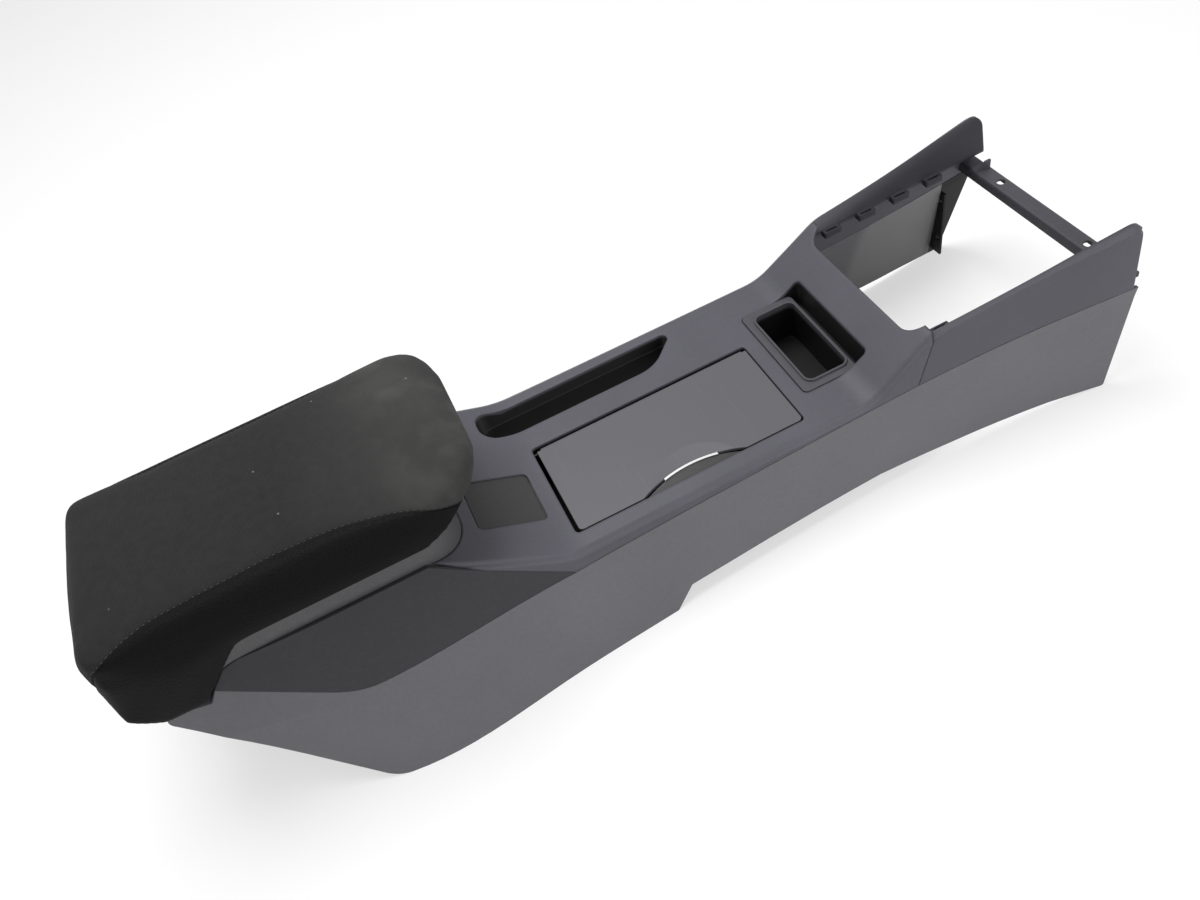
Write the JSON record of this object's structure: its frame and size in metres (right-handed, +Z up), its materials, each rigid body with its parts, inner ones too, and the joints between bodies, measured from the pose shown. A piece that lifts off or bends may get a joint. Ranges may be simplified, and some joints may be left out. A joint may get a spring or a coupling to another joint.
{
  "type": "tunnel console",
  "caption": "Vehicle tunnel console: drafted side panels, rear armrest lid over a storage bin, hinged tray lid, lever slot, insert tray and open front for a gear lever.",
  "frame": {"origin": "middle of the footprint on the floor", "axes": "+X towards the gear-lever end, +Y to the left, +Z up"},
  "size_m": [0.916, 0.3102, 0.2433],
  "materials": {
    "panel_plastic": "fine grained, matte",
    "trim_plastic": "soft-touch satin",
    "shoulder_plastic": "soft-touch matte",
    "inner_plastic": "plain matte",
    "bin_plastic": "plain matte",
    "lid_plastic": "satin",
    "pad_fabric": "ribbed weave",
    "pan_plastic": "plain matte",
    "bright_strip": "polished",
    "steel": "plain"
  },
  "bodies": {
    "console": {"side_panel_left": "panel_plastic", "side_panel_right": "panel_plastic", "rear_cover": "panel_plastic", "shoulder_left": "shoulder_plastic", "shoulder_right": "shoulder_plastic", "top_trim": "trim_plastic", "cheek_left": "trim_plastic", "cheek_right": "trim_plastic", "front_bridge": "inner_plastic", "lever_slot_liner": "inner_plastic", "tray_box": "inner_plastic", "insert_bin": "trim_plastic", "blank_plate": "shoulder_plastic", "storage_bin": "bin_plastic", "hinge_bracket": "steel", "hinge_pin": "steel"},
    "armrest_lid": {"armrest_pan": "pan_plastic", "armrest_pad": "pad_fabric"},
    "release_button": {"release_button": "pan_plastic"},
    "tray_lid": {"tray_lid": "lid_plastic", "lid_trim": "bright_strip", "lid_pins": "steel"}
  },
  "joints": [
    {"name": "armrest_hinge", "type": "hinge", "parent": "console", "child": "armrest_lid", "pos_m": [-0.435, 0, 0.148], "axis": [0, -1, 0], "range_deg": [0, 75]},
    {"name": "tray_lid_hinge", "type": "hinge", "parent": "console", "child": "tray_lid", "pos_m": [0.025, 0.0195, 0.1025], "axis": [-1, 0, 0], "range_deg": [0, 90]},
    {"name": "release_press", "type": "slide", "parent": "armrest_lid", "child": "release_button", "axis": [-1, 0, 0], "range_m": [0, 0.003], "stiffness_N_per_m": 400}
  ]
}
